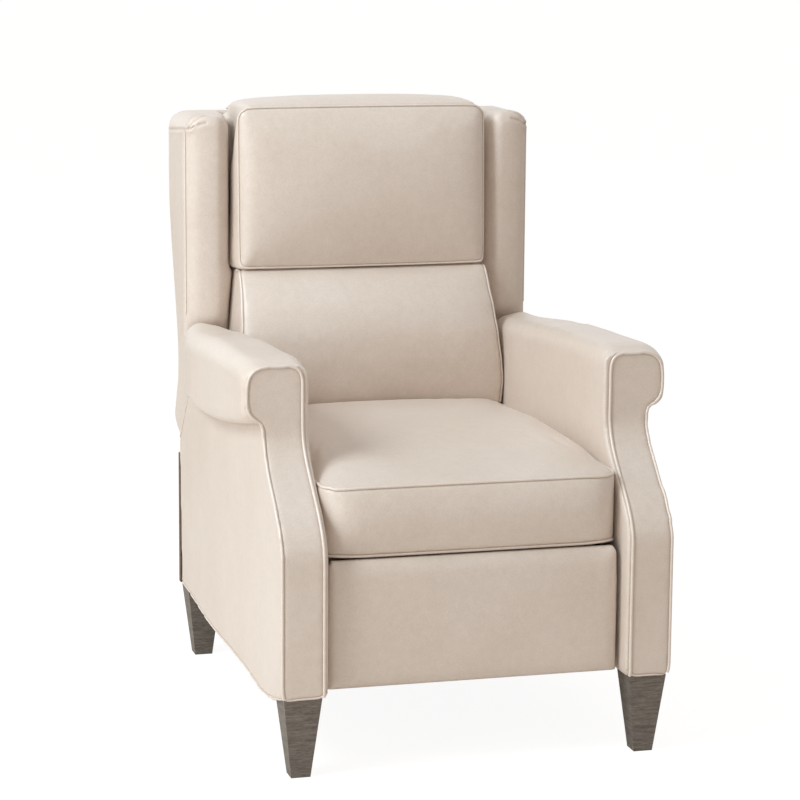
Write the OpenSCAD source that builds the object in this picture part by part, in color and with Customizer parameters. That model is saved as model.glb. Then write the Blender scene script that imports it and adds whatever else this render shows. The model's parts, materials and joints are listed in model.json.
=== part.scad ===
// Push-back recliner with a winged two-part back, rolled arms and tapered legs.
// X runs to the sitter's left, Y to the back, Z up. The chair stands on Z = 0.

/* [Seat] */
// Clear width between the two arms
seat_w = 534; // [510:1:600]
// Height of the deck that the seat cushion lies on
deck_z = 373; // [366:1:384]
// How far the seat cushion's front stands behind the arm fronts
seat_set = 45; // [38:1:50]
// How far the seat cushion's rear edge stands in front of the rear panel's face
seat_end_gap = 128; // [126:1:150]
// Height of the seat cushion's side band
seat_band = 123; // [112:1:124]
// Crown of the seat cushion over its side band
seat_crown = 34; // [10:1:38]
// Play between the seat cushion and each arm
seat_play = 2; // [1:0.5:6]
// Radius of the seat cushion's front corners
seat_corner = 30; // [15:1:45]
// Forward travel of the seat as the chair reclines
seat_travel = 25; // [15:1:30]

/* [Arms] */
// Width of one arm below its roll
arm_w = 83; // [68:1:90]
// Height of the roll's top near the arm's front
roll_top = 707; // [690:1:712]
// How far the roll's top falls towards the back
roll_fall = 40; // [30:1:48]
// Height at which the roll starts on the arm's front
roll_neck = 595; // [588:1:602]
// Height at which the arm's front begins to curve back
knee_z = 383; // [370:1:396]
// Height of the slanted seam's lower end, at the rear of the outer panel
seam_z = 432; // [424:1:440]
// How far the arm's front slopes back to the roll
front_set = 142; // [120:1:160]
// How far the roll overhangs the arm's outer face
roll_out = 35; // [18:1:40]
// How far the roll droops along the outer face
roll_droop = 54; // [40:1:58]
// Thickness of the upholstered front facing
facing_t = 12; // [8:1:16]
// Thickness of the padded inner panel
inner_t = 18; // [12:1:22]
// Thickness of the outer panel
outer_t = 10; // [8:1:12]

/* [Frame] */
// Thickness of the frame boards
board_t = 24; // [20:1:26]
// Height of the long bottom rails of the arms
rail_h = 48; // [40:1:56]
// Depth of the base from the arm fronts to the rear panel
base_d = 886; // [884:1:896]
// Height of the rear panel's top edge
rear_top = 402; // [394:1:404]
// Thickness of the rear panel
rear_t = 10; // [8:1:12]

/* [Legs] */
// Height of the legs
leg_h = 142; // [130:1:150]
// Width of a leg at its top
leg_top = 67; // [52:1:70]
// Width of a leg at its foot
leg_foot = 34; // [26:1:44]
// Distance from the arm's outer face to the middle of a leg
leg_inset = 39.5; // [34:0.5:44]
// Radius of the bolt that holds a leg
leg_bolt_r = 4; // [3:0.5:6]

/* [Back] */
// Height of the head cushion's seam at its top
head_top = 1084; // [1074:1:1090]
// Height of the joint between the two back cushions
split_z = 773; // [760:1:785]
// Width that each wing takes beside the head cushion
wing_w = 93; // [90:1:104]
// Crown of the head cushion's front
head_crown = 22; // [10:1:30]
// Space between the lumbar cushion's foot and each arm
lumbar_play = 3; // [2:1:20]
// How much narrower the lumbar cushion is at its top, on each side
lumbar_taper = 24; // [15:1:34]
// How far the lumbar cushion's foot stands in front of the seat cushion's rear edge
lumbar_lead = 42; // [30:1:46]
// How far the lumbar cushion's top stands behind its foot
lumbar_lean = 75; // [60:1:80]
// How far the head cushion's foot stands behind the seat cushion's rear edge
head_set = 36; // [34:1:46]
// How far the head cushion's top stands behind its foot
head_lean = 11; // [4:1:20]
// Crown of the lumbar cushion's front
lumbar_crown = 30; // [15:1:34]
// Lean of the back's wooden frame from the upright
frame_lean = 9.5; // [9:0.25:10]
// How far the wings stand inside the arms' outer faces
wing_step = 5; // [1:0.5:8]
// Height of the seam that ends the wings' side panels
wing_top = 1040; // [1034:1:1046]
// Rise of the padded wing tops over that seam
wing_rise = 24; // [20:1:40]
// Thickness of the panels that cover the back's sides and rear
skin_t = 10; // [6:1:10]

/* [Mechanism] */
// Thickness of the steel plates and links
plate_t = 5; // [4:0.5:5]
// Free space between plates that slide past each other
plate_gap = 1; // [0.6:0.1:1]
// Length of the glide links between their pivots
glide_l = 110; // [100:1:114]
// Width of the steel links
link_w = 18; // [14:1:19]
// Radius of the pivot pins
pin_r = 4; // [3:0.5:4.5]
// Running clearance of a pin in its hole
pin_gap = 0.08; // [0.05:0.01:0.1]
// Radius of the torque tube that joins both lift links
tube_r = 8; // [6:0.5:9]
// Fold angle of the footrest links when the footrest is stowed
fold_deg = 84; // [82:0.5:85]
// Upward tilt of the footrest's way out
lift_deg = 11; // [10:0.5:12]
// Radius of the back's hinge pins
hinge_r = 7; // [5:0.5:8]

/* [Footrest] */
// Thickness of the footrest's padding
foot_pad_t = 20; // [16:1:22]
// Thickness of the footrest's board
foot_board_t = 12; // [10:1:13]
// Gap between the footrest panel and each arm
foot_gap = 10; // [7:1:16]
// Gap between the footrest panel's top and the seat deck
foot_top_gap = 5; // [5:1:14]

/* [Hidden] */
$fn = 32;

leather = [0.86, 0.80, 0.73];
timber = [0.78, 0.64, 0.46];
leg_wood = [0.44, 0.41, 0.38];
lining = [0.32, 0.30, 0.28];
steel = [0.55, 0.56, 0.58];

// Space left between boards and pads that lie against each other
fit = 0.2;

// Depths count from the arm fronts backwards, and fy centres them on the whole chair
chair_d = base_d + 108;
function fy(d) = d - chair_d / 2;

// Helpers for outlines

// Points on an arc about c from angle a0 to a1
function arc(c, r, a0, a1, n = 5) = [for (i = [0:n])
  let(a = a0 + (a1 - a0) * i / n) c + r * [cos(a), sin(a)]];

// The smooth run through a few chosen points
function bend_point(a, b, c, e, t) = 0.5 * (2 * b + (c - a) * t + (2 * a - 5 * b + 4 * c - e) * t * t
  + (3 * b - a - 3 * c + e) * t * t * t);
function smooth_run(p, steps = 3) = concat([for (i = [0:len(p) - 2], k = [0:steps - 1])
  bend_point(p[max(0, i - 1)], p[i], p[i + 1], p[min(len(p) - 1, i + 2)], k / steps)], [p[len(p) - 1]]);

function turned_round(p) = [for (i = [len(p) - 1:-1:0]) p[i]];

// An ease from 0 to 1 between a and b
function ease(v, a, b) = (1 - cos(180 * min(1, max(0, (v - a) / (b - a))))) / 2;

// Helpers for solids

// Board or plate with an outline in depth and height, from x0 to x1
module side_cut(outline, x0, x1) {
  translate([x0, 0, 0]) rotate([90, 0, 90]) linear_extrude(height = x1 - x0)
    polygon([for (p = outline) [fy(p[0]), p[1]]]);
}

// Board with an outline in width and height, from depth d0 to d1
module front_cut(outline, d0, d1) {
  translate([0, fy(d1), 0]) rotate([90, 0, 0]) linear_extrude(height = d1 - d0) polygon(outline);
}

// Box between two corners, with its Y given as a depth
module block(x0, x1, d0, d1, z0, z1) {
  translate([x0, fy(d0), z0]) cube([x1 - x0, d1 - d0, z1 - z0]);
}

// Round rod along X at a depth and height
module rod(p, r, x0, x1) {
  translate([x0, fy(p[0]), p[1]]) rotate([0, 90, 0]) cylinder(r = r, h = x1 - x0);
}

module mirrored() {
  mirror([1, 0, 0]) children();
}

module both_sides() {
  children();
  mirrored() children();
}

// Skin over a list of closed rings that all have the same number of points
module loft(rings) {
  n = len(rings[0]);
  m = len(rings);
  middle = [for (r = [rings[0], rings[m - 1]]) [for (k = [0:2]) [for (p = r) p[k]] * [for (p = r) 1] / n]];
  walls = [for (i = [0:m - 2], j = [0:n - 1])
    let(a = i * n + j, b = i * n + (j + 1) % n) each [[a, b + n, b], [a, a + n, b + n]]];
  first = [for (j = [0:n - 1]) [m * n, j, (j + 1) % n]];
  last = [for (j = [0:n - 1]) [m * n + 1, (m - 1) * n + (j + 1) % n, (m - 1) * n + j]];
  polyhedron(concat([for (r = rings) each r], middle), concat(walls, first, last));
}

// Stations across a cushion, closer together towards its two side bands
pad_side = [0.2, 0.42, 0.62, 0.78, 0.88, 0.94, 0.975, 1];
pad_stations = concat([for (i = [len(pad_side) - 1:-1:0]) -pad_side[i]], [0], pad_side);
// Stations along each side of a cushion's outline, closer together towards its corners
side_at = [0, 0.04, 0.12, 0.3, 0.5, 0.7, 0.88, 0.96];

// How far a rounded corner of radius r draws in at x, where the edge stands at w
function corner_in(x, w, r) = x > w - r ? r - sqrt(max(0, r * r - pow(x - w + r, 2))) : 0;

// Outline across a cushion: c holds its corners, bow what each side stands out at
// the side bands, and crown what the middle of the cushion adds to that
function pad_ring(c, bow, crown, t) = [for (s = [0:3], u = side_at)
  let(a = c[s], v = c[(s + 1) % 4] - a, out = [v[1], -v[0]] / norm(v))
  a + v * u + out * (bow[s] + crown[s] * (1 - pow(abs(t), 3))) * pow(sin(180 * u), 0.8)];

// Boxed cushion between a half width at its foot and another at its top
module cushion(c, bow, crown, w_foot, w_top, front_r, top_r, draw) {
  z_lo = min([for (p = c) p[1]]);
  z_hi = max([for (p = c) p[1]]);
  d_lo = min([for (p = c) p[0]]);
  d_hi = max([for (p = c) p[0]]);
  loft([for (t = pad_stations) [for (p = pad_ring(c, bow, crown, t))
    let(f = min(1, max(0, (p[1] - z_lo) / (z_hi - z_lo))),
      g = min(1, max(0, (p[0] - d_lo) / (d_hi - d_lo))),
      edge = w_foot + (w_top - w_foot) * f - draw * sin(180 * g) * sin(180 * f),
      w = edge - corner_in(p[1], z_hi, top_r), x = t * w)
    [x, fy(p[0] + corner_in(abs(x), edge, front_r) * max(0, 1 - 3 * g)), p[1]]]]);
}

// Widths and places shared by the base

arm_in = seat_w / 2;
arm_out = arm_in + arm_w;
wing_half = arm_out - wing_step;
head_half = wing_half - wing_w;
lumbar_half = arm_in - lumbar_play;
lumbar_top_half = lumbar_half - lumbar_taper;
seat_end = base_d - seat_end_gap;
seat_len = seat_end - seat_set;
post_in = arm_in + inner_t;
post_out = arm_out - outer_t;
roll_seat = roll_neck + 7;
leg_mid = arm_out - leg_inset;
front_leg_d = leg_top / 2 + 6;
rear_leg_d = base_d - leg_top / 2;
leg_hole = 30;
front_post = 40;
arm_rear = base_d - 74;
rear_face = base_d - rear_t;
cut_low = [base_d - 16, seam_z];
cut_high = [base_d - 114, seam_z + 117];
crest_z = roll_top - 10;

// Lower edge of the outer panel, a gentle wave between the two legs
hem_wave = [[0.058, 11], [0.123, 19.5], [0.184, 22.5], [0.238, 19.5], [0.308, 15.5], [0.394, 13.5],
  [0.498, 14.5], [0.596, 15.5], [0.707, 12.5], [0.813, 5], [0.896, 1]];
hem = smooth_run(concat([[facing_t, leg_h]], [for (p = hem_wave) [base_d * p[0], leg_h - p[1]]],
  [[base_d - 33, leg_h - 2]]));

// The arm's front edge: upright to the knee, then an S-shaped curve back to the roll
edge_steps = 12;
function front_edge(z) = front_set * ease(z, knee_z, roll_seat - 20);
function edge_run(z0, z1, set) = concat([[set, z0]],
  [for (i = [0:edge_steps])
    let(z = knee_z + (roll_seat - knee_z) * i / edge_steps) [set + front_edge(z), z]],
  z1 > roll_seat ? [[set + front_set, z1]] : []);

module arm_frame() {
  front = edge_run(leg_h, roll_seat, facing_t + fit);
  x0 = post_in + fit;
  x1 = post_out - fit;
  // The post beside the reclining back stands clear of its side panel
  x1_rear = min(x1, wing_half - skin_t - 1.5);
  color(timber) {
    difference() {
      side_cut(concat(front, [for (p = turned_round(front)) p + [front_post, 0]]), x0, x1);
      leg_bore(front_leg_d);
    }
    difference() {
      block(x0, x1, facing_t + front_post + 2 * fit, rear_face - fit, leg_h, leg_h + rail_h);
      leg_bore(rear_leg_d);
    }
    block(x0, x1, facing_t + front_set + front_post + 2 * fit, arm_rear,
      roll_seat - board_t, roll_seat - fit);
    block(x0, x1_rear, arm_rear - front_post, arm_rear, leg_h + rail_h + fit, roll_seat - board_t - fit);
    block(x0, x1, rear_face - board_t, rear_face - fit, leg_h + rail_h + fit, rear_top - 6);
  }
}

module leg_bore(d) {
  translate([leg_mid, fy(d), leg_h - leg_hole - 1]) cylinder(r = leg_bolt_r + pin_gap, h = 2 * leg_hole + 2);
}

module outer_arm_panel() {
  front = [for (p = edge_run(leg_h, roll_seat, facing_t + fit)) if (p[1] > leg_h) p];
  color(leather) difference() {
    side_cut(concat(hem, [cut_low, cut_high, [cut_high[0], roll_seat - fit]],
      [for (p = turned_round(front)) [p[0], min(p[1], roll_seat - fit)]]), post_out, arm_out);
    // Room for the tops of the legs, which stand a little into the panel's lower edge
    for (d = [front_leg_d, rear_leg_d])
      block(post_out - 1, leg_mid + leg_top / 2 + fit, d - leg_top / 2 - fit,
        d + leg_top / 2 + fit, 0, leg_h);
  }
}

module inner_arm_panel() {
  front = edge_run(leg_h + 2, roll_seat, facing_t + fit);
  color(leather) difference() {
    side_cut(concat([[arm_rear, leg_h + 2], [arm_rear, roll_seat - fit]],
      [for (p = turned_round(front)) [p[0], min(p[1], roll_seat - fit)]]), arm_in, post_in);
    for (p = screw_spots) rod(p, screw_r + pin_gap, arm_in - 1, post_in + 1);
  }
}

// The roll's top, its drooping lower edge and its outer face along the arm
roll_run = arm_rear - front_set;
function crest(d) = roll_top - roll_fall * ease(d, front_set + 0.43 * roll_run, arm_rear)
  - 12 * (1 - ease(d, front_set, front_set + 45));
function droop(d) = roll_neck - roll_droop * sin(90 * min(1, (d - front_set) / (0.657 * roll_run)))
  + 50 * ease(d, cut_high[0], arm_rear + 12);
function overhang(d) = arm_out + roll_out * (1 - 0.85 * ease(d, front_set + 0.684 * roll_run, arm_rear + 5));
roll_r = 26;
roll_front = front_set + facing_t + fit;
roll_stations = [0, 0.03, 0.07, 0.2, 0.35, 0.5, 0.65, 0.78, 0.88, 0.95, 0.98];

// Radius of the roll's lower outer edge, less where the roll hardly overhangs the arm
function under_r(d) = min(roll_r, overhang(d) - arm_out - 2 * fit);

function roll_ring(d) = [for (p = concat(
  [[arm_in, roll_seat], [arm_in, (roll_seat + crest(d) - roll_r) / 2]],
  arc([arm_in + roll_r, crest(d) - roll_r], roll_r, 180, 90),
  arc([overhang(d) - roll_r - 8, crest(d) - roll_r - 8], roll_r + 8, 85, 0),
  arc([overhang(d) - under_r(d), droop(d) + under_r(d)], under_r(d), 0, -80),
  [[arm_out + fit, droop(d) + 3], [arm_out + fit, max(roll_seat, droop(d) + 5)]])) [p[0], fy(d), p[1]]];

module arm_roll() {
  run = arm_rear - 8 - roll_front;
  body = [for (s = roll_stations) roll_ring(roll_front + run * s)];
  last = body[len(body) - 1];
  hub = [for (k = [0:2]) [for (p = last) p[k]] * [for (p = last) 1] / len(last)];
  color(leather) loft(concat(body, [for (e = [[0.93, 12], [0.7, 19]])
    [for (p = last) [hub[0] + (p[0] - hub[0]) * e[0], p[1] + e[1], hub[2] + (p[2] - hub[2]) * e[0]]]]));
}

// Outline of the arm's front: a narrow post with the roll's round end on top
crown_r = 22;
face_out = arm_out + roll_out - 5;
facing_outline = concat(arc([arm_in + 10, leg_h + 10], 10, 180, 270),
  arc([arm_out - 10, leg_h + 10], 10, 270, 360),
  [[arm_out, roll_neck]], arc([face_out - roll_r, roll_neck + roll_r], roll_r, 275, 360),
  arc([face_out - roll_r - 8, crest_z - roll_r - 8], roll_r + 8, 0, 85),
  arc([arm_in + crown_r, crest_z - crown_r], crown_r, 90, 180));

module arm_facing() {
  near = edge_run(leg_h - 1, crest_z + 1, 0);
  color(leather) intersection() {
    front_cut(facing_outline, -1, front_set + facing_t + 1);
    side_cut(concat(near, [for (p = turned_round(near)) p + [facing_t, 0]]),
      arm_in - 1, arm_out + roll_out + 1);
  }
}

// Legs

module leg(d) {
  half = leg_top / 2;
  foot = leg_foot / 2;
  color(leg_wood) difference() {
    intersection() {
      side_cut([[d - half, leg_h], [d - foot, 0], [d + foot, 0], [d + half, leg_h]],
        leg_mid - half - 1, leg_mid + half + 1);
      front_cut([[leg_mid - half, leg_h], [leg_mid - foot, 0], [leg_mid + foot, 0], [leg_mid + half, leg_h]],
        d - half - 1, d + half + 1);
    }
    leg_bore(d);
  }
}

module leg_bolts() {
  color(steel) both_sides() for (d = [front_leg_d, rear_leg_d])
    translate([leg_mid, fy(d), leg_h - leg_hole]) cylinder(r = leg_bolt_r, h = 2 * leg_hole);
}

// Cross rails and rear panel

cross_rail_z = leg_h + 8;
cross_rail_h = 50;
front_rail_d = seat_set + 150;

module front_rail() {
  color(timber) block(-arm_in + fit, arm_in - fit, front_rail_d, front_rail_d + board_t, cross_rail_z,
    cross_rail_z + cross_rail_h);
}

module rear_rail() {
  color(timber) block(-post_in, post_in, rear_face - board_t, rear_face - fit, cross_rail_z,
    cross_rail_z + cross_rail_h);
}

module rear_top_rail() {
  color(timber) block(-post_in, post_in, rear_face - 14, rear_face - fit, rear_top - 62, rear_top - 18);
}

module rear_panel() {
  color(leather) difference() {
    block(-arm_out + 3, arm_out - 3, rear_face, base_d, leg_h + 3, rear_top);
    translate([0, fy(base_d), rear_top]) rotate([45, 0, 0]) cube([2 * arm_out, 5, 5], center = true);
  }
}

// Planes of the steel plates, counted inwards from the arms

step = plate_t + plate_gap;
fixed_plane = arm_in - plate_t - plate_gap;
glide_plane = fixed_plane - step;
carrier_plane = glide_plane - step;
lift_plane = carrier_plane - step;
coupler_plane = lift_plane - step;
reach_plane = coupler_plane - step;
bracket_plane = reach_plane - step;

// Round-ended steel strip between two pivots, with a hole at each
module strip(a, b, plane, hole_a, hole_b, w = link_w) {
  turn = atan2(b[1] - a[1], b[0] - a[0]);
  difference() {
    side_cut(concat(arc(a, w / 2, turn + 90, turn + 270, 12), arc(b, w / 2, turn - 90, turn + 90, 12)),
      plane, plane + plate_t);
    rod(a, hole_a, plane - 1, plane + plate_t + 1);
    rod(b, hole_b, plane - 1, plane + plate_t + 1);
  }
}

// Pivots of the seat's glide and of the back

glide_half = asin(seat_travel / 2 / glide_l);
glide_rise = glide_l * cos(glide_half);
hang_z = deck_z - 38;
glide_foot = [[seat_set + 205, hang_z - glide_rise], [seat_end - 138, hang_z - glide_rise]];
glide_head = [for (p = glide_foot) p + [seat_travel / 2, glide_rise]];
hinge_at = [base_d - 48, rear_top - 37];
running = pin_r + pin_gap;
open_play = 1;

screw_r = 3;
screw_spots = [for (d = [front_rail_d + 25, base_d / 2, base_d - 166]) [d, hang_z - glide_rise + 58]];

module mechanism_plate() {
  low = hang_z - glide_rise - 14;
  high = low + 84;
  rear = hinge_at[0] + 20;
  color(steel) difference() {
    side_cut([[front_rail_d + 8, low + 10], [front_rail_d + 18, low], [rear, low], [rear, hinge_at[1] + 12],
      [rear - 10, hinge_at[1] + 20], [hinge_at[0] - 14, hinge_at[1] + 20], [hinge_at[0] - 80, high],
      [front_rail_d + 8, high]], fixed_plane, fixed_plane + plate_t);
    for (p = glide_foot) rod(p, pin_r, fixed_plane - 1, arm_in);
    for (p = screw_spots) rod(p, screw_r + pin_gap, fixed_plane - 1, arm_in);
    rod(hinge_at, hinge_r, fixed_plane - 1, arm_in);
  }
}

module plate_screws() {
  color(steel) both_sides() for (p = screw_spots) {
    rod(p, screw_r, fixed_plane - fit, post_in - fit);
    rod(p, screw_r + 3, fixed_plane - 2.5, fixed_plane - fit);
  }
}

module hinge_pins() {
  color(steel) both_sides() {
    rod(hinge_at, hinge_r, lift_plane - 1, fixed_plane + plate_t);
    rod(hinge_at, hinge_r + 4, lift_plane + plate_t + plate_gap, fixed_plane);
  }
}

module glide_pins() {
  color(steel) both_sides() for (p = glide_foot)
    rod(p, pin_r, glide_plane - plate_gap / 2, fixed_plane + plate_t);
}

module glide_links(i) {
  color(steel) both_sides() strip(glide_foot[i], glide_head[i], glide_plane, running, pin_r + open_play);
}

// Seat

frame_rail = 38;
frame_out = carrier_plane;
deck_t = 2;
frame_h = 26;
foot_rear = seat_set + 17;
seat_front = foot_rear + 3;
nose_len = 56;
seat_rear = seat_end - 18;
cushion_z = deck_z + 0.3;

module seat_frame() {
  z1 = deck_z - deck_t - fit;
  z0 = z1 - frame_h;
  color(timber) {
    both_sides() block(frame_out - frame_rail, frame_out - fit, seat_front + nose_len, seat_rear, z0, z1);
    for (d = [seat_front + nose_len, seat_rear - frame_rail])
      block(-frame_out + frame_rail + fit, frame_out - frame_rail - fit, d, d + frame_rail, z0, z1);
    nose = reach_plane - step * 5 - 8;
    block(-nose, nose, seat_front, seat_front + nose_len - fit, z0, z1);
  }
}

// One zigzag spring as a flat ribbon between the front and rear boards
spring_wire = 3.2;
spring_swing = 20;
spring_waves = 11;
wave_steps = 8;

module zigzag_spring(x) {
  d0 = seat_front + nose_len + frame_rail + fit;
  run = seat_rear - frame_rail - fit - d0;
  n = spring_waves * wave_steps;
  mid = [for (i = [0:n]) [spring_swing * sin(360 * i / wave_steps), run * i / n]];
  side = [for (i = [0:n]) let(v = mid[min(n, i + 1)] - mid[max(0, i - 1)])
    [v[1], -v[0]] / norm(v) * spring_wire / 2];
  translate([x, fy(d0), deck_z - deck_t - 3 * spring_wire]) linear_extrude(height = spring_wire)
    polygon(concat([for (i = [0:n]) [mid[i][0] + side[i][0], min(run, max(0, mid[i][1] + side[i][1]))]],
      [for (i = [n:-1:0]) [mid[i][0] - side[i][0], min(run, max(0, mid[i][1] - side[i][1]))]]));
}

module seat_springs() {
  color(steel) for (k = [-1.5:1:1.5]) zigzag_spring(k * (frame_out - frame_rail) / 2.2);
}

module seat_deck() {
  color(lining) block(-frame_out + fit, frame_out - fit, seat_front, seat_rear, deck_z - deck_t, deck_z);
}

module seat_cushion() {
  d0 = seat_set;
  d1 = seat_end;
  z1 = cushion_z + seat_band;
  half = arm_in - seat_play;
  color(leather) cushion([[d0, cushion_z], [d1, cushion_z], [d1, z1], [d0, z1]], [0, 0, 0, 2],
    [0, 0, seat_crown, 6], half, half, seat_corner, 0, 4);
}

// Footrest linkage, worked out from the stowed fold

lift_at = [seat_set + 95, hang_z];
control_off = [28, -19];
link_l = (lift_at[1] + control_off[1] - link_w / 2 - leg_h - 3) / sin(fold_deg - lift_deg);
elbow = lift_at + link_l * [-cos(fold_deg - lift_deg), -sin(fold_deg - lift_deg)];
toe = elbow + link_l * [-cos(fold_deg + lift_deg), sin(fold_deg + lift_deg)];
tube_at = lift_at + (elbow - lift_at) * 0.45;

module seat_carrier() {
  low = lift_at[1] + control_off[1] - 16;
  z1 = deck_z - deck_t - fit;
  rear = glide_head[1][0] + 40;
  color(steel) difference() {
    side_cut([[lift_at[0] - 34, z1], [lift_at[0] - 34, lift_at[1] - 4], [lift_at[0] - 14, low],
      [lift_at[0] + 60, low], [lift_at[0] + 84, lift_at[1] - 12], [rear - 16, lift_at[1] - 12],
      [rear, lift_at[1]], [rear, z1]], carrier_plane, carrier_plane + plate_t);
    for (p = concat([lift_at, lift_at + control_off], glide_head))
      rod(p, pin_r, carrier_plane - 1, glide_plane);
  }
}

module carrier_pins() {
  color(steel) both_sides() {
    for (p = [lift_at, lift_at + control_off]) {
      rod(p, pin_r, lift_plane - plate_gap / 2, carrier_plane + plate_t);
      rod(p, pin_r + 2.5, coupler_plane + plate_t - 1, lift_plane - plate_gap / 2);
    }
    for (p = glide_head) rod(p, pin_r, carrier_plane, glide_plane + plate_t + plate_gap / 2);
  }
}

module lift_links() {
  color(steel) both_sides() strip(lift_at, elbow, lift_plane, running, pin_r);
}

module torque_tube() {
  color(steel) difference() {
    rod(tube_at, tube_r, -lift_plane + fit, lift_plane - fit);
    rod(tube_at, tube_r - 2, -lift_plane, lift_plane);
  }
}

module lift_pins() {
  color(steel) both_sides() {
    rod(elbow, pin_r, reach_plane - plate_gap / 2, lift_plane + plate_t);
    rod(elbow, pin_r + 2.5, bracket_plane + plate_t - 1, reach_plane - plate_gap / 2);
  }
}

module control_links() {
  color(steel) both_sides() {
    strip(lift_at + control_off, elbow + control_off, lift_plane, running, pin_r);
    rod(elbow + control_off, pin_r, coupler_plane - plate_gap / 2, lift_plane + plate_t);
  }
}

module coupler_plates() {
  color(steel) both_sides() strip(elbow, elbow + control_off, coupler_plane, running, pin_r + open_play);
}

module reach_links() {
  color(steel) both_sides() strip(elbow, toe, reach_plane, running, running);
}

// Footrest panel

foot_z0 = leg_h + 5;
foot_z1 = deck_z - foot_top_gap;
foot_half = arm_in - foot_gap;

module footrest_brackets() {
  z0 = foot_z0 + 43;
  z1 = foot_z1 - 13;
  back = foot_rear + fit;
  color(steel) both_sides() {
    difference() {
      union() {
        side_cut([[back, z0], [back + 8, z0], [back + 14, toe[1] - 40], [toe[0] + 2, toe[1] - 9],
          [toe[0], toe[1] + 9], [back, z1]], bracket_plane, bracket_plane + plate_t);
        rod(toe, link_w / 2, bracket_plane, bracket_plane + plate_t);
        block(bracket_plane - 20, bracket_plane + 1, back, back + 3, z0, z1);
      }
      rod(toe, pin_r - 1, bracket_plane - 1, bracket_plane + plate_t + 1);
    }
    rod(toe, pin_r, bracket_plane + plate_t, reach_plane + plate_t + plate_gap / 2);
    rod(toe, pin_r - 1, bracket_plane, bracket_plane + plate_t + 1);
  }
}

module footrest_board() {
  color(timber) block(-foot_half + 12, foot_half - 12, foot_rear - foot_board_t, foot_rear, foot_z0 + 10,
    foot_z1 - 10);
}

module footrest_pad() {
  d1 = foot_rear - foot_board_t - fit;
  d0 = d1 - foot_pad_t;
  color(leather) cushion([[d0, foot_z0], [d1, foot_z0], [d1, foot_z1], [d0, foot_z1]], [0, 0, 0, 1],
    [0, 0, 0, 4], foot_half, foot_half, foot_pad_t / 4, 8, 0);
}

// Back, with its frame leaning and its cushions in front of it

back_foot = [hinge_at[0], 430];
post_in_x = 214;
post_d = 30;
webbing_t = 3;
webbing_w = 50;
bracket_top = 600;
function frame_d(z) = back_foot[0] + (z - back_foot[1]) * tan(frame_lean);
function rest_d(z) = frame_d(z) - (webbing_t + 0.3) / cos(frame_lean);
frame_l = (wing_top - 1 - back_foot[1]) / cos(frame_lean);
post_foot = 12;

// Rear outline of the back, from the tip over the base to the top seam
rear_line = smooth_run([[base_d + 11, cut_low[1] - 2], [base_d + 52, cut_low[1] + 16],
  [base_d + 64, cut_low[1] + 38], [base_d + 45, cut_low[1] + 80], [base_d + 27, cut_low[1] + 124],
  [base_d + 27, cut_low[1] + 172],
  [base_d + 40, cut_low[1] + 230], [base_d + 63, cut_low[1] + 302], [base_d + 86, cut_low[1] + 376],
  [base_d + 101, wing_top - 168], [base_d + 107, wing_top - 115], [base_d + 108, wing_top - 80],
  [base_d + 107, wing_top - 40], [base_d + 104, wing_top]]);

module leaned() {
  translate([0, fy(back_foot[0]), back_foot[1]]) rotate([-frame_lean, 0, 0]) children();
}

// Board of the back's frame, placed along the leaning frame
module back_board(x0, x1, z0, z1, depth = board_t) {
  leaned() translate([x0, 0, z0]) cube([x1 - x0, depth, z1 - z0]);
}

post_x = [post_in_x, lift_plane - fit];
board_in = wing_half - skin_t - board_t;

module back_frame() {
  color(timber) {
    both_sides() back_board(post_x[0], post_x[1], post_foot, frame_l, post_d);
    for (z = [post_foot, frame_l * 0.53, frame_l - 46])
      back_board(-post_x[0] + fit, post_x[0] - fit, z, z + 46);
    both_sides() for (z = [frame_l * 0.4, frame_l - 46])
      back_board(post_x[1] + fit, board_in - fit, z, z + 40);
  }
}

webbing_rows = 9;

module back_webbing() {
  color(lining) leaned() for (i = [0:webbing_rows - 1])
    translate([-post_x[1], -webbing_t, post_foot + 8 + i * (frame_l - webbing_w - 20) / (webbing_rows - 1)])
      cube([2 * post_x[1], webbing_t - 0.1, webbing_w]);
}

module back_bracket() {
  hub = hinge_at;
  color(steel) difference() {
    union() {
      rod(hub, 15, lift_plane, lift_plane + plate_t);
      side_cut([[hub[0] - 15, hub[1]], [hub[0] + 8, hub[1]], [hub[0] + 8, hub[1] + 30],
        [frame_d(445) + 18, 445], [frame_d(bracket_top) + 34, bracket_top],
        [frame_d(bracket_top) + 6, bracket_top], [frame_d(445) + 2, 445],
        [hub[0] - 15, hub[1] + 30]], lift_plane, lift_plane + plate_t);
    }
    rod(hub, hinge_r + pin_gap, lift_plane - 1, lift_plane + plate_t + 1);
  }
}

lower_pad_z = [rear_top - 2, cushion_z + seat_band + 12];
lower_pad_d = seat_end + 6;

module lower_back_pad() {
  color(leather) side_cut([[lower_pad_d, lower_pad_z[0]], [hinge_at[0] - 8, lower_pad_z[0]],
    [rest_d(lower_pad_z[0] + 36), lower_pad_z[0] + 36], [rest_d(lower_pad_z[1]), lower_pad_z[1]],
    [lower_pad_d, lower_pad_z[1]]], -post_x[1] + 4, post_x[1] - 4);
}

lumbar_z0 = lower_pad_z[1] + 3;
lumbar_foot = seat_end - lumbar_lead;
head_foot = seat_end + head_set;

module lumbar_cushion() {
  z1 = split_z - 4;
  color(leather) cushion([[lumbar_foot, lumbar_z0], [rest_d(lumbar_z0), lumbar_z0], [rest_d(z1), z1],
    [lumbar_foot + lumbar_lean, z1]], [0, 0, 0, 30], [0, 0, 0, lumbar_crown],
    lumbar_half, lumbar_top_half, 10, 0, 3);
}

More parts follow.
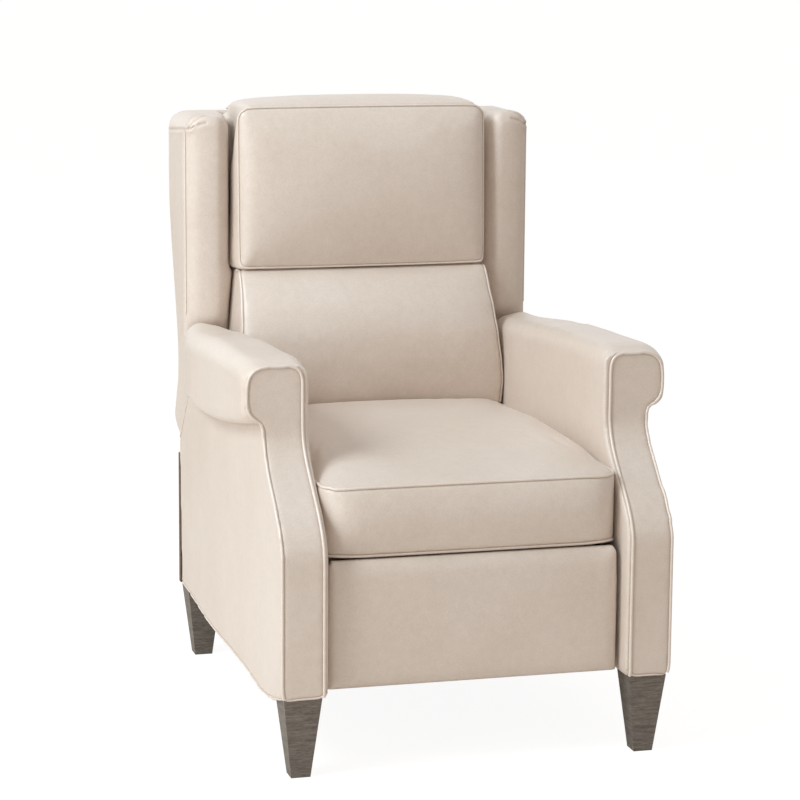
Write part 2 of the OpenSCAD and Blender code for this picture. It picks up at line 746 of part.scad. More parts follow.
module head_cushion() {
  z0 = split_z;
  z1 = head_top;
  color(leather) cushion([[head_foot, z0], [rest_d(z0), z0], [rest_d(z1), z1], [head_foot + head_lean, z1]],
    [0, 0, 4, 2], [0, 0, 10, head_crown], head_half, head_half, 14, 20, 3);
}

// Wings

wing_face = base_d - 54;
pad_rear = wing_face + 38;
pad_foot = crest(arm_rear) + 8;
wing_in = head_half + 4;
wing_out = wing_half - skin_t - 0.3;
pad_reach = 22;

// Section across a wing's padded front, drawn in by an inset near its ends
function wing_ring(z, inset, reach = pad_reach) = [for (p = concat(
  [[wing_out - inset, pad_rear - inset / 3]],
  [for (i = [0:10]) let(a = 18 * i)
    [(wing_out + wing_in) / 2 + ((wing_out - wing_in) / 2 - inset) * sign(cos(a)) * pow(abs(cos(a)), 0.5),
      wing_face - (reach - inset / 2) * pow(sin(a), 0.7)]],
  [[wing_in + inset, pad_rear - inset / 3]])) [p[0], fy(p[1]), z]];

module wing_pad() {
  top = wing_top + wing_rise;
  // Below the armrest's height the pad is slim and stands behind the roll's end
  color(leather) loft([wing_ring(roll_seat + 4, 3, 8), wing_ring(roll_seat + 10, 1, 8),
    wing_ring(pad_foot - 12, 0, 7), wing_ring(pad_foot + 8, 0), wing_ring(wing_top - 150, 0),
    wing_ring(wing_top + 4, 0), wing_ring(top - 14, 4), wing_ring(top - 4, 12), wing_ring(top, 24)]);
}

inner_rear = [for (p = rear_line) p - [skin_t + fit, 0]];

module wing_board() {
  z0 = 640;
  color(timber) side_cut(concat([[pad_rear + fit, z0]],
    [for (p = inner_rear) if (p[1] > z0 && p[1] < wing_top - 4) p],
    [[pad_rear + fit, wing_top - 4]]), board_in, wing_half - skin_t - fit);
}

module wing_side_panel() {
  away = 3.2;
  roll_end = arm_rear + 12;
  slope = cut_high - cut_low;
  off = [slope[1], -slope[0]] / norm(slope) * away;
  corner = cut_high + off - 0.12 * slope;
  color(leather) side_cut(concat([[wing_face, wing_top], [wing_face, pad_foot], [roll_end, pad_foot - 4],
    [roll_end, roll_seat + 8], [roll_end - 8, roll_seat - 30], corner + [12, 11], corner, cut_low + off],
    [for (p = inner_rear) if (p[0] > cut_low[0] + off[0] && p[1] < wing_top) p],
    [[inner_rear[len(inner_rear) - 1][0], wing_top]]), wing_half - skin_t, wing_half);
}

module outer_back_panel() {
  color(leather) {
    side_cut(concat(rear_line, turned_round([for (p = rear_line) p - [skin_t, 0]])), -wing_half, wing_half);
    block(-wing_half + 16, wing_half - 16, base_d + 2.5, base_d + 10, rear_top + 2, cut_low[1] + 4);
  }
}

cap_r = 22;

module top_band() {
  z0 = wing_top + 0.3;
  z1 = wing_top + wing_rise;
  rear = inner_rear[len(inner_rear) - 1][0] + skin_t;
  side = turned_round(arc([wing_half - cap_r, z1 - cap_r], cap_r, 5, 90));
  color(leather) difference() {
    intersection() {
      side_cut(concat([[pad_rear + fit, z0], [rear, z0]], arc([rear - cap_r, z1 - cap_r], cap_r, 10, 90),
        [[pad_rear + 20, z1], [pad_rear + fit, z1 - 3]]), -wing_half, wing_half);
      front_cut(concat([[-wing_half, z0], [wing_half, z0]], turned_round(side),
        [for (p = side) [-p[0], p[1]]]), pad_rear - 1, rear + 1);
    }
    block(-wing_in, wing_in, pad_rear - 1, rest_d(z1) + 3, z0 - 1, z1 + 1);
  }
}

arm_frame();  // arm_frame_left
mirrored() arm_frame();  // arm_frame_right
outer_arm_panel();  // outer_arm_panel_left
mirrored() outer_arm_panel();  // outer_arm_panel_right
inner_arm_panel();  // inner_arm_panel_left
mirrored() inner_arm_panel();  // inner_arm_panel_right
arm_roll();  // arm_roll_left
mirrored() arm_roll();  // arm_roll_right
arm_facing();  // arm_facing_left
mirrored() arm_facing();  // arm_facing_right
leg(front_leg_d);  // leg_front_left
mirrored() leg(front_leg_d);  // leg_front_right
leg(rear_leg_d);  // leg_rear_left
mirrored() leg(rear_leg_d);  // leg_rear_right
leg_bolts();
front_rail();
rear_rail();
rear_top_rail();
rear_panel();
mechanism_plate();  // mechanism_plate_left
mirrored() mechanism_plate();  // mechanism_plate_right
plate_screws();
hinge_pins();
glide_pins();
glide_links(0);  // front_glide_links
glide_links(1);  // rear_glide_links
seat_frame();
seat_springs();
seat_deck();
seat_cushion();
seat_carrier();  // seat_carrier_left
mirrored() seat_carrier();  // seat_carrier_right
carrier_pins();
lift_links();
torque_tube();
lift_pins();
control_links();
coupler_plates();
reach_links();
footrest_brackets();
footrest_board();
footrest_pad();
back_frame();
back_webbing();
back_bracket();  // back_bracket_left
mirrored() back_bracket();  // back_bracket_right
lower_back_pad();
wing_board();  // wing_board_left
mirrored() wing_board();  // wing_board_right
wing_pad();  // wing_pad_left
mirrored() wing_pad();  // wing_pad_right
wing_side_panel();  // wing_side_panel_left
mirrored() wing_side_panel();  // wing_side_panel_right
outer_back_panel();
top_band();
head_cushion();
lumbar_cushion();
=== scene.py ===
# %% [markdown]
# # Dressing a push-back recliner
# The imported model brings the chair's real parts: frames, steel links, legs and plain solids for
# everything soft. This lesson dresses them in ivory leather. Each soft solid gets a cover of its
# own that is sewn, filled and piped over the same room, so the chair still reclines.

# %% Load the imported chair
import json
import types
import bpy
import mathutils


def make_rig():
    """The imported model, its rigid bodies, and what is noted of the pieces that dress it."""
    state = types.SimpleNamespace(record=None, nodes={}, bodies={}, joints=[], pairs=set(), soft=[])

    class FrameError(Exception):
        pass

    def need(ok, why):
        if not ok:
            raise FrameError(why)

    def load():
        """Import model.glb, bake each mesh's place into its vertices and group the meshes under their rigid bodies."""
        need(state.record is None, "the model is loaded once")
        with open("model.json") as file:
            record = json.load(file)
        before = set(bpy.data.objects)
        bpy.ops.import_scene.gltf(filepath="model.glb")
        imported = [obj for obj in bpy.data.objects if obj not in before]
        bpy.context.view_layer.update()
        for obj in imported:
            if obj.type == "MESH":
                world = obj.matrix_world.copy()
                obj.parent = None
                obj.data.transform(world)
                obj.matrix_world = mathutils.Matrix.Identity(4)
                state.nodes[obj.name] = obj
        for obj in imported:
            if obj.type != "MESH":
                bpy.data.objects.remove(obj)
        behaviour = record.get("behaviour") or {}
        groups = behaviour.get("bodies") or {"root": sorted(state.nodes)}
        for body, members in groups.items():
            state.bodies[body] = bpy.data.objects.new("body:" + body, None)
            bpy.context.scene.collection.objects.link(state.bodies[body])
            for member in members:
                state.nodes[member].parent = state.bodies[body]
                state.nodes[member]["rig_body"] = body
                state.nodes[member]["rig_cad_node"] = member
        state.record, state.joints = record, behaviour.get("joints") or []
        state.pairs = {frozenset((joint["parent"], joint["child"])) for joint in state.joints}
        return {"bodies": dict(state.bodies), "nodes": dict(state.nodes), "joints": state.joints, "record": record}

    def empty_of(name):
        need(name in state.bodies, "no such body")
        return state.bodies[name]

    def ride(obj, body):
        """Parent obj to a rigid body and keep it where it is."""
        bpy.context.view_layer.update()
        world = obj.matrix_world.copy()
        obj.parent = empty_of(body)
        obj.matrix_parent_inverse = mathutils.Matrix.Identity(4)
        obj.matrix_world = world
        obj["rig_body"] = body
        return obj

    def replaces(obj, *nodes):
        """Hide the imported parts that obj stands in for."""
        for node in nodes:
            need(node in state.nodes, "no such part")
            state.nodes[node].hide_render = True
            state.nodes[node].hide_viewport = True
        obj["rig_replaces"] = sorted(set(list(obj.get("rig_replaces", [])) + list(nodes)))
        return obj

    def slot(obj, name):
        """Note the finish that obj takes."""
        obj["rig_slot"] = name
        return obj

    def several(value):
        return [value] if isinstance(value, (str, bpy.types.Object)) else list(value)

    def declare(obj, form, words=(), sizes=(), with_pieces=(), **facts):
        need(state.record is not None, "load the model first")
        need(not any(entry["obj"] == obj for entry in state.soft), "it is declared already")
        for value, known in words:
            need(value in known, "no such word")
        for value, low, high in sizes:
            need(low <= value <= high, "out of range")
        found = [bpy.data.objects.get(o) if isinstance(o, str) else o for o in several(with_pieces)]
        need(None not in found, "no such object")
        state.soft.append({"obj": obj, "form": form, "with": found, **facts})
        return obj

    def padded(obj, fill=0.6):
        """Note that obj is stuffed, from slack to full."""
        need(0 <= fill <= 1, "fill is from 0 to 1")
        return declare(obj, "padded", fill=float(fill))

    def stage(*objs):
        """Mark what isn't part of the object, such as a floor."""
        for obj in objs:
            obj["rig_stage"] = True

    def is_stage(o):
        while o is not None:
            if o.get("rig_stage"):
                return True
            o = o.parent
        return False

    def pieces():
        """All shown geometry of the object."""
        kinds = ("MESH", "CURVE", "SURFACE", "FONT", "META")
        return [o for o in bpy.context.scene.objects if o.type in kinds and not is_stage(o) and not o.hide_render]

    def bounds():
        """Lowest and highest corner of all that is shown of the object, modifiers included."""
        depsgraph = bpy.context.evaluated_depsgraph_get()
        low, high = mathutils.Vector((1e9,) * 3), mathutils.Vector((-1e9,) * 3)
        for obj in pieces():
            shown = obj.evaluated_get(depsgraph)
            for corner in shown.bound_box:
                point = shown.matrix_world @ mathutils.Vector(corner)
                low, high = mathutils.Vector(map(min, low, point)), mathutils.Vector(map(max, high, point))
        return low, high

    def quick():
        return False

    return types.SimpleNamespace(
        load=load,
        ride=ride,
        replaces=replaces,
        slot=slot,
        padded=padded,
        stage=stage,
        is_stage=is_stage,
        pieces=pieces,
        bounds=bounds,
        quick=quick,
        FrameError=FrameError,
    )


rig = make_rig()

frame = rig.load()
import json
import math

import bpy
import numpy as np
from mathutils import Matrix, Vector
from mathutils.bvhtree import BVHTree

cad_box = [[float(v) for v in corner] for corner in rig.bounds()]
scene = bpy.context.scene
print("CAD box", cad_box)

# %% [markdown]
# The chair's own drawing measures in millimetres: across from the middle, back from the arm
# fronts, and up from the floor. One small function turns such a place into Blender's metres.

# %% Places on the chair
CHAIR_DEPTH = 994


def at(x, back, z):
    return Vector((x / 1000, (back - CHAIR_DEPTH / 2) / 1000, z / 1000))


print("middle of the seat", at(0, 400, 500))

# %% [markdown]
# ## Camera
# The photograph was taken from the front and a little from the chair's right, above the arms. A
# long lens, rather than a near one, keeps the legs' edges almost parallel.

# %% Camera
camera_data = bpy.data.cameras.new("camera")
camera_data.lens = 128.25
camera_data.sensor_width = 36
camera = bpy.data.objects.new("camera", camera_data)
scene.collection.objects.link(camera)
ahead = Vector((0.26579696, 0.94714588, -0.17962925)).normalized()
level = ahead.cross(Vector((0, 0, 1))).normalized()
tilt = math.radians(0.434)
right = math.cos(tilt) * level + math.sin(tilt) * level.cross(ahead)
above = right.cross(ahead)
stand = Matrix.Translation((-1.41448, -5.01718, 1.51003))
camera.matrix_world = stand @ Matrix((right, above, -ahead)).transposed().to_4x4()
scene.camera = camera
print("camera looks along", ahead)

# %% [markdown]
# ## Floor and light
# A studio's paper sweep is white and has no edge. Here the floor is a wide plane whose shader
# glows white for the camera and keeps a share of plain diffuse, so the legs still throw a shadow.
# The world does the same: white where the camera or a reflection sees it, and a weaker, warmer
# light for everything else, as pale studio walls give.

# %% Paper floor
FLOOR_GLOW, GLOW_SHARE = 1.16, 0.8


def nodes_of(material):
    material.use_nodes = True
    material.node_tree.nodes.clear()
    return material.node_tree.nodes, material.node_tree.links


bpy.ops.object.select_all(action="DESELECT")
bpy.ops.mesh.primitive_plane_add(size=60, location=(0, 0, 0))
floor = bpy.context.active_object
floor.name = "paper_floor"
paper = bpy.data.materials.new("white_paper")
made, wires = nodes_of(paper)
seen = made.new("ShaderNodeLightPath")
glow = made.new("ShaderNodeEmission")
glow.inputs["Strength"].default_value = FLOOR_GLOW
matt = made.new("ShaderNodeBsdfDiffuse")
matt.inputs["Color"].default_value = (0.94, 0.87, 0.80, 1)
share = made.new("ShaderNodeMath")
share.operation = "MULTIPLY"
share.inputs[1].default_value = GLOW_SHARE
mix = made.new("ShaderNodeMixShader")
wires.new(seen.outputs["Is Camera Ray"], share.inputs[0])
wires.new(share.outputs[0], mix.inputs[0])
wires.new(matt.outputs[0], mix.inputs[1])
wires.new(glow.outputs[0], mix.inputs[2])
wires.new(mix.outputs[0], made.new("ShaderNodeOutputMaterial").inputs["Surface"])
floor.data.materials.append(paper)
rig.stage(floor)
print("floor glows at", FLOOR_GLOW, "for the camera")

# %% Room light
ROOM_COLOR, ROOM_STRENGTH = (1, 0.94, 0.885, 1), 0.47
world = bpy.data.worlds.new("studio")
scene.world = world
world.use_nodes = True
made, wires = world.node_tree.nodes, world.node_tree.links
made.clear()
seen = made.new("ShaderNodeLightPath")
either = made.new("ShaderNodeMath")
either.operation = "MAXIMUM"
wires.new(seen.outputs["Is Camera Ray"], either.inputs[0])
wires.new(seen.outputs["Is Glossy Ray"], either.inputs[1])
more = made.new("ShaderNodeMath")
more.operation = "MAXIMUM"
wires.new(either.outputs[0], more.inputs[0])
wires.new(seen.outputs["Is Transmission Ray"], more.inputs[1])
room_light = made.new("ShaderNodeBackground")
room_light.inputs["Color"].default_value = ROOM_COLOR
room_light.inputs["Strength"].default_value = ROOM_STRENGTH
white = made.new("ShaderNodeBackground")
white.inputs["Color"].default_value = (1, 1, 1, 1)
white.inputs["Strength"].default_value = 1
mix = made.new("ShaderNodeMixShader")
wires.new(more.outputs[0], mix.inputs[0])
wires.new(room_light.outputs[0], mix.inputs[1])
wires.new(white.outputs[0], mix.inputs[2])
wires.new(mix.outputs[0], made.new("ShaderNodeOutputWorld").inputs["Surface"])


# %% [markdown]
# A big soft lamp high on the left stands in for the studio's window and gives every highlight. A
# weaker strip low beside it lights the outer arm, and a small lamp overhead lifts the tops. All
# three are a little cool, so that the warm room fills their shadows as on the photograph.

# %% Lamps
LAMP_AIM = Vector((0, 0, 0.6))


def lamp(name, place, wide, tall, watts, color):
    data = bpy.data.lights.new(name, "AREA")
    data.shape = "RECTANGLE"
    data.size = wide
    data.size_y = tall
    data.energy = watts
    data.color = color
    ob = bpy.data.objects.new(name, data)
    scene.collection.objects.link(ob)
    ob.location = place
    ob.rotation_euler = (LAMP_AIM - Vector(place)).to_track_quat("-Z", "Y").to_euler()


lamp("window_lamp", (-3.2, -1.15, 3.4), 1.6, 1.6, 118, (0.83, 0.94, 1.0))
lamp("left_strip_lamp", (-3.0, -1.8, 0.75), 1.0, 1.8, 18, (0.92, 0.97, 1.0))
lamp("top_lamp", (-0.5, -0.1, 3.2), 1.8, 1.8, 9, (0.95, 0.98, 1.0))
scene.view_settings.view_transform = "Standard"
print("lamps", [o.name for o in scene.objects if o.type == "LIGHT"])

# %% [markdown]
# ## Leather
# The cover is smooth, pale ivory leather with a soft sheen. Up close it has a fine pebble, wider
# creases that come from stretching, and slow drifts of tone where the hide took the dye unevenly.
# Near seams, grooves and pleats the colour is darkened as painted shade, where the real leather
# lies in shadow. A vertex attribute named seam, which the sewing cells write, carries that shade.

# %% Leather
def add(made, kind, **inputs):
    node = made.new(kind)
    for name, value in inputs.items():
        node.inputs[name.replace("_", " ")].default_value = value
    return node


def ramp(made, wires, source, stops):
    node = made.new("ShaderNodeValToRGB")
    while len(node.color_ramp.elements) < len(stops):
        node.color_ramp.elements.new(0.5)
    for element, (place, color) in zip(node.color_ramp.elements, stops):
        element.position = place
        element.color = (*color, 1)
    wires.new(source, node.inputs[0])
    return node.outputs[0]


def blend_colors(made, wires, mode, factor, a, b):
    node = made.new("ShaderNodeMix")
    node.data_type = "RGBA"
    node.blend_type = mode
    for socket, value in ((node.inputs[0], factor), (node.inputs[6], a), (node.inputs[7], b)):
        if hasattr(value, "is_output"):
            wires.new(value, socket)
        else:
            socket.default_value = value
    return node.outputs[2]


def leather(name, light, deep, pebble=0.10, rough_low=0.40, rough_high=0.54):
    material = bpy.data.materials.new(name)
    made, wires = nodes_of(material)
    place = made.new("ShaderNodeTexCoord").outputs["Object"]
    drift = add(made, "ShaderNodeTexNoise", Scale=4.5, Detail=3.0, Roughness=0.55)
    mottle = add(made, "ShaderNodeTexNoise", Scale=70.0, Detail=4.0, Roughness=0.6)
    wires.new(place, drift.inputs["Vector"])
    wires.new(place, mottle.inputs["Vector"])
    tone = ramp(made, wires, drift.outputs["Fac"], [(0.3, deep), (0.72, light)])
    spots = ramp(made, wires, mottle.outputs["Fac"], [(0.3, (0.93, 0.92, 0.91)), (0.7, (1, 1, 1))])
    color = blend_colors(made, wires, "MULTIPLY", 0.8, tone, spots)
    grain = add(made, "ShaderNodeTexNoise", Scale=330.0, Detail=3.0, Roughness=0.7)
    wires.new(place, grain.inputs["Vector"])
    flecks = ramp(made, wires, grain.outputs["Fac"], [(0.34, (0.90, 0.885, 0.87)), (0.62, (1, 1, 1))])
    color = blend_colors(made, wires, "MULTIPLY", 0.7, color, flecks)
    # Painted shade: the seam attribute darkens the leather in grooves, pleats and under the piping.
    seam = made.new("ShaderNodeAttribute")
    seam.attribute_name = "seam"
    dark = ramp(made, wires, seam.outputs["Fac"], [(0.0, (1, 1, 1)), (1.0, (0.62, 0.55, 0.49))])
    color = blend_colors(made, wires, "MULTIPLY", 1.0, color, dark)

    cells = add(made, "ShaderNodeTexVoronoi", Scale=620.0)
    cells.feature = "SMOOTH_F1"
    creases = add(made, "ShaderNodeTexNoise", Scale=180.0, Detail=6.0, Roughness=0.6)
    waves = add(made, "ShaderNodeTexNoise", Scale=16.0, Detail=2.0)
    for node in (cells, creases, waves):
        wires.new(place, node.inputs["Vector"])
    fine = add(made, "ShaderNodeBump", Strength=pebble, Distance=0.0006)
    wires.new(cells.outputs["Distance"], fine.inputs["Height"])
    middle = add(made, "ShaderNodeBump", Strength=0.16, Distance=0.0012)
    wires.new(creases.outputs["Fac"], middle.inputs["Height"])
    wires.new(fine.outputs[0], middle.inputs["Normal"])
    broad = add(made, "ShaderNodeBump", Strength=0.25, Distance=0.006)
    wires.new(waves.outputs["Fac"], broad.inputs["Height"])
    wires.new(middle.outputs[0], broad.inputs["Normal"])

    shader = add(made, "ShaderNodeBsdfPrincipled", IOR=1.6)
    shader.inputs["Sheen Weight"].default_value = 0.16
    shader.inputs["Sheen Roughness"].default_value = 0.4
    shader.inputs["Coat Weight"].default_value = 0.6
    shader.inputs["Coat Roughness"].default_value = 0.42
    wires.new(color, shader.inputs["Base Color"])
    rough = made.new("ShaderNodeMapRange")
    rough.inputs["To Min"].default_value = rough_low
    rough.inputs["To Max"].default_value = rough_high
    wires.new(mottle.outputs["Fac"], rough.inputs["Value"])
    wires.new(rough.outputs[0], shader.inputs["Roughness"])
    wires.new(broad.outputs[0], shader.inputs["Normal"])
    wires.new(shader.outputs[0], made.new("ShaderNodeOutputMaterial").inputs["Surface"])
    return material


ivory = leather("ivory_leather", (0.785, 0.688, 0.612), (0.730, 0.625, 0.540))
# The piping is the same leather in a lighter tone, a painted highlight on its round top.
piping_painted_highlight = leather("ivory_piping_painted_light", (0.84, 0.75, 0.675), (0.80, 0.70, 0.62), pebble=0.05,
                 rough_low=0.32, rough_high=0.42)
print("leather nodes", len(ivory.node_tree.nodes))

# %% [markdown]
# ## Wood, steel and cloth
# The legs are oak with a grey-brown stain whose fine grain runs across them. The hidden frame is
# plain planed pine; the arm frames, seen only through the rear gaps, are dark brown painted shade.
# The links are sheet steel under black paint, and pins, screws and springs are zinc plated.
# Webbing and lining are woven, so both get two crossing waves of thread.

# %% Wood
def wood(name, light, dark, stretch, scale, rough):
    material = bpy.data.materials.new(name)
    made, wires = nodes_of(material)
    place = made.new("ShaderNodeMapping")
    place.inputs["Scale"].default_value = stretch
    wires.new(made.new("ShaderNodeTexCoord").outputs["Object"], place.inputs["Vector"])
    grain = add(made, "ShaderNodeTexNoise", Scale=scale, Detail=8.0, Roughness=0.65)
    pores = add(made, "ShaderNodeTexNoise", Scale=scale * 4, Detail=4.0, Roughness=0.7)
    for node in (grain, pores):
        wires.new(place.outputs[0], node.inputs["Vector"])
    color = ramp(made, wires, grain.outputs["Fac"], [(0.32, dark), (0.66, light)])
    lines = ramp(made, wires, pores.outputs["Fac"], [(0.36, (0.62, 0.60, 0.58)), (0.56, (1, 1, 1))])
    color = blend_colors(made, wires, "MULTIPLY", 0.75, color, lines)
    shader = add(made, "ShaderNodeBsdfPrincipled", Roughness=rough)
    wires.new(color, shader.inputs["Base Color"])
    bump = add(made, "ShaderNodeBump", Strength=0.35, Distance=0.0006)
    wires.new(pores.outputs["Fac"], bump.inputs["Height"])
    wires.new(bump.outputs[0], shader.inputs["Normal"])
    wires.new(shader.outputs[0], made.new("ShaderNodeOutputMaterial").inputs["Surface"])
    return material


LONG, ACROSS, UP = (5, 0.6, 5), (0.6, 5, 5), (5, 5, 0.6)
PINE_LIGHT, PINE_DARK = (0.70, 0.53, 0.34), (0.56, 0.39, 0.23)
# Dark brown painted shade for the arm frames and rear strips, which show only in the shadowed gaps at the base's rear
# corners.
gap_shade_brown = wood("painted_gap_shade_brown", (0.17, 0.105, 0.07), (0.085, 0.05, 0.033), LONG, 24, 0.6)
leg_wood = wood("weathered_oak", (0.235, 0.205, 0.175), (0.105, 0.088, 0.075), (1, 1, 9), 34, 0.55)
pine_long = wood("planed_pine_long", PINE_LIGHT, PINE_DARK, LONG, 24, 0.7)
pine_across = wood("planed_pine_across", PINE_LIGHT, PINE_DARK, ACROSS, 24, 0.7)
pine_up = wood("planed_pine_up", PINE_LIGHT, PINE_DARK, UP, 24, 0.7)
print("woods", [m.name for m in (gap_shade_brown, leg_wood, pine_long, pine_across, pine_up)])


# %% Steel
def steel(name, color, metallic, rough, spread, bump_strength):
    material = bpy.data.materials.new(name)
    made, wires = nodes_of(material)
    place = made.new("ShaderNodeTexCoord").outputs["Object"]
    cloud = add(made, "ShaderNodeTexNoise", Scale=55.0, Detail=5.0)
    skin = add(made, "ShaderNodeTexNoise", Scale=900.0, Detail=3.0)
    wires.new(place, cloud.inputs["Vector"])
    wires.new(place, skin.inputs["Vector"])
    shader = add(made, "ShaderNodeBsdfPrincipled", Metallic=metallic)
    tone = ramp(made, wires, cloud.outputs["Fac"], [(0.3, tuple(0.82 * c for c in color)), (0.7, color)])
    wires.new(tone, shader.inputs["Base Color"])
    gloss = made.new("ShaderNodeMapRange")
    gloss.inputs["To Min"].default_value = rough - spread
    gloss.inputs["To Max"].default_value = rough + spread
    wires.new(cloud.outputs["Fac"], gloss.inputs["Value"])
    wires.new(gloss.outputs[0], shader.inputs["Roughness"])
    bump = add(made, "ShaderNodeBump", Strength=bump_strength, Distance=0.0003)
    wires.new(skin.outputs["Fac"], bump.inputs["Height"])
    wires.new(bump.outputs[0], shader.inputs["Normal"])
    wires.new(shader.outputs[0], made.new("ShaderNodeOutputMaterial").inputs["Surface"])
    return material


black_steel = steel("black_painted_steel", (0.045, 0.045, 0.048), 0.0, 0.42, 0.08, 0.25)
zinc = steel("zinc_plated_steel", (0.66, 0.66, 0.64), 1.0, 0.34, 0.10, 0.12)
print("steels", black_steel.name, zinc.name)


# %% Woven cloth
def woven(name, color, thread, rough=0.9):
    material = bpy.data.materials.new(name)
    made, wires = nodes_of(material)
    place = made.new("ShaderNodeTexCoord").outputs["Object"]
    bands = []
    for direction in ("X", "DIAGONAL"):
        wave = add(made, "ShaderNodeTexWave", Scale=thread, Distortion=0.6, Detail=1.0)
        wave.bands_direction = direction
        wires.new(place, wave.inputs["Vector"])
        bands.append(wave.outputs["Fac"])
    weave = blend_colors(made, wires, "MULTIPLY", 0.6, bands[0], bands[1])
    shader = add(made, "ShaderNodeBsdfPrincipled", Roughness=rough)
    shader.inputs["Sheen Weight"].default_value = 0.2
    tone = ramp(made, wires, weave, [(0.1, tuple(0.55 * c for c in color)), (0.8, color)])
    wires.new(tone, shader.inputs["Base Color"])
    bump = add(made, "ShaderNodeBump", Strength=0.5, Distance=0.0005)
    wires.new(weave, bump.inputs["Height"])
    wires.new(bump.outputs[0], shader.inputs["Normal"])
    wires.new(shader.outputs[0], made.new("ShaderNodeOutputMaterial").inputs["Surface"])
    return material


webbing_cloth = woven("elastic_webbing", (0.30, 0.27, 0.22), 320)
lining_cloth = woven("dark_lining", (0.09, 0.085, 0.08), 420)
print("materials", [m.name for m in bpy.data.materials])

# %% [markdown]
# ## Sewing tools
# Every cover starts as a merged copy of its solid. A voxel remesh gives it an even net of small
# faces, as cloth needs, and a few rounds of smoothing turn hard edges into padded ones. Small
# moves of its points, written in the drawing's millimetres, then give it the shape that filling
# and sewing give the real one.

# %% Sewing tools
def pick(*obs):
    bpy.ops.object.select_all(action="DESELECT")
    for ob in obs:
        ob.select_set(True)
    bpy.context.view_layer.objects.active = obs[-1]


def applied(ob, kind, **settings):
    pick(ob)
    modifier = ob.modifiers.new(kind.lower(), kind)
    for key, value in settings.items():
        setattr(modifier, key, value)
    bpy.ops.object.modifier_apply(modifier=modifier.name)


def points_of(ob):
    co = np.empty(len(ob.data.vertices) * 3, np.float32)
    ob.data.vertices.foreach_get("co", co)
    return co.reshape(-1, 3).astype(float)


def move_points(ob, co):
    ob.data.vertices.foreach_set("co", co.astype(np.float32).ravel())
    ob.data.update()


def in_mm(co):
    return np.abs(co[:, 0]) * 1000, co[:, 1] * 1000 + CHAIR_DEPTH / 2, co[:, 2] * 1000


def part_way(v, a, b):
    return np.clip((v - a) / (b - a), 0, 1)


def behind(co, back):
    return co[:, 1] > at(0, back, 0).y


def cover_from(name, nodes, voxel=0.005, soften=4, widen=None):
    copies = []
    for node in nodes:
        ob = bpy.data.objects.new(name, frame["nodes"][node].data.copy())
        scene.collection.objects.link(ob)
        copies.append(ob)
        if widen and node.startswith("wing_pad"):
            inner, outer, wanted = (v / 1000 for v in widen)
            co = points_of(ob)
            across = np.abs(co[:, 0])
            co[:, 0] *= (inner + (across - inner) * (wanted - inner) / (outer - inner)) / across
            move_points(ob, co)
    pick(*copies)
    if len(copies) > 1:
        bpy.ops.object.join()
    ob = bpy.context.view_layer.objects.active
    ob.name = name
    ob.data.materials.clear()
    bpy.ops.object.mode_set(mode="EDIT")
    bpy.ops.mesh.select_all(action="SELECT")
    bpy.ops.mesh.remove_doubles(threshold=0.00001)
    bpy.ops.object.mode_set(mode="OBJECT")
    applied(ob, "REMESH", mode="VOXEL", voxel_size=voxel)
    if soften:
        applied(ob, "SMOOTH", factor=0.5, iterations=soften)
    return ob


# %% Finishing a cover
def finish_cover(ob, nodes, body, material, fill=0.7):
    ob.data.materials.clear()
    ob.data.materials.append(material)
    pick(ob)
    bpy.ops.object.shade_smooth()
    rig.replaces(ob, *nodes)
    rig.slot(ob, "ivory_leather")
    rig.padded(ob, fill=fill)
    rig.ride(ob, body)
    print(ob.name, len(ob.data.polygons), "faces")


# %% [markdown]
# Air pressure fills a cover as foam fills the real one: it pushes every point out along its
# normal, while the sewn edges are held. Only so much swelling is kept, because foam is firm.

# %% Filling with air
def distance_to(points, path, closed=True):
    ends = np.array([tuple(p) for p in path])
    starts, stops = (ends, np.roll(ends, -1, 0)) if closed else (ends[:-1], ends[1:])
    best = np.full(len(points), 1e9)
    for a, b in zip(starts, stops):
        run = b - a
        t = np.clip((points - a) @ run / max(run @ run, 1e-12), 0, 1)
        best = np.minimum(best, np.linalg.norm(points - a - t[:, None] * run, axis=1))
    return best


def inflate(ob, held, pressure=4.0, cap=0.008, frames=20):
    rest = points_of(ob)
    group = ob.vertex_groups.new(name="held")
    group.add([int(i) for i in np.flatnonzero(held(rest))], 1.0, "REPLACE")
    pick(ob)
    modifier = ob.modifiers.new("air", "CLOTH")
    cloth = modifier.settings
    cloth.quality = 5
    cloth.mass = 0.25
    cloth.tension_stiffness = 12
    cloth.compression_stiffness = 12
    cloth.shear_stiffness = 6
    cloth.bending_stiffness = 2
    cloth.vertex_group_mass = "held"
    cloth.use_pressure = True
    cloth.uniform_pressure_force = pressure
    cloth.effector_weights.gravity = 0
    modifier.point_cache.frame_end = frames
    for step in range(1, frames + 1):
        scene.frame_set(step)
    bpy.ops.object.modifier_apply(modifier=modifier.name)
    scene.frame_set(1)
    shift = points_of(ob) - rest
    length = np.linalg.norm(shift, axis=1, keepdims=True)
    shift *= np.minimum(1, cap / np.maximum(length, 1e-9))
    move_points(ob, rest + shift)
    applied(ob, "SMOOTH", factor=0.5, iterations=2)
    print(ob.name, "swelled by", round(float(length.max()) * 1000, 1), "mm at most")


# %% [markdown]
# Seams show in two ways. A plain seam is a fine groove between two soft ridges, because the
# leather is turned under on both sides of the thread. A welt is a thin cord wrapped in leather and
# sewn in between. Both are pressed into the cover along a path, after the faces under the path
# have been split once so that a narrow groove has points to follow.

# %% Grooves and plain seams
def evenly(path, gap, closed):
    pts = [Vector(p) for p in path]
    if closed:
        pts.append(pts[0].copy())
    lengths = [0.0]
    for a, b in zip(pts, pts[1:]):
        lengths.append(lengths[-1] + (b - a).length)
    count = max(2, round(lengths[-1] / gap))
    spread, k = [], 0
    for i in range(count if closed else count + 1):
        want = lengths[-1] * i / count
        while k < len(pts) - 2 and lengths[k + 1] < want:
            k += 1
        t = (want - lengths[k]) / max(lengths[k + 1] - lengths[k], 1e-12)
        spread.append(pts[k].lerp(pts[k + 1], t))
    return spread


